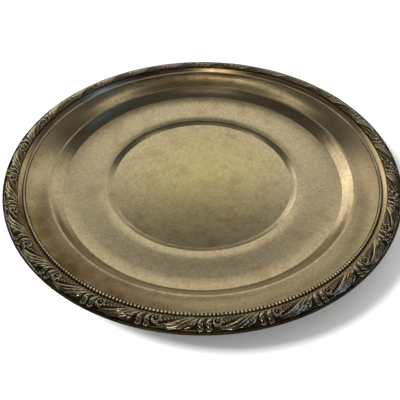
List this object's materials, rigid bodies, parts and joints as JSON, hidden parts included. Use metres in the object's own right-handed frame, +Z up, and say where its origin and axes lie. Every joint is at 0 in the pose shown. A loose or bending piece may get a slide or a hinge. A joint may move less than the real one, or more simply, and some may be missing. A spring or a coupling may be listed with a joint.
{
  "type": "offering plate",
  "caption": "Round shallow offering plate with a sunk well, a curved wall, a sloping flange, a beaded wire and a raised scroll and leaf border.",
  "frame": {"origin": "centre of the underside of the well, on the surface that the plate stands on", "axes": "+Z up, along the axis of the round plate; +X and +Y are two directions across the rim, and the border's sections start 106 degrees clockwise from +X"},
  "size_m": [0.305, 0.3048, 0.0256],
  "materials": {
    "dish_silver_plate": "silver plate on brass sheet, brushed by years of rubbing and tarnished to warm olive and beige",
    "border_silver_plate": "silver plate on die-struck brass sheet, dark brown oxide in the hollows, rubbed bright on the high points",
    "wire_silver_plate": "silver plate on brass wire, tarnished",
    "soft_solder": "dull grey soft solder, hidden under the border"
  },
  "bodies": {
    "root": {"plate_body": "dish_silver_plate", "bead_wire": "wire_silver_plate", "border_section_01": "border_silver_plate", "border_section_02": "border_silver_plate", "border_section_03": "border_silver_plate", "border_section_04": "border_silver_plate", "border_section_05": "border_silver_plate", "border_section_06": "border_silver_plate", "border_section_07": "border_silver_plate", "border_section_08": "border_silver_plate", "border_section_09": "border_silver_plate", "border_section_10": "border_silver_plate", "border_section_11": "border_silver_plate", "border_section_12": "border_silver_plate", "border_section_13": "border_silver_plate", "border_solder": "soft_solder", "edge_wire": "wire_silver_plate"}
  },
  "joints": []
}
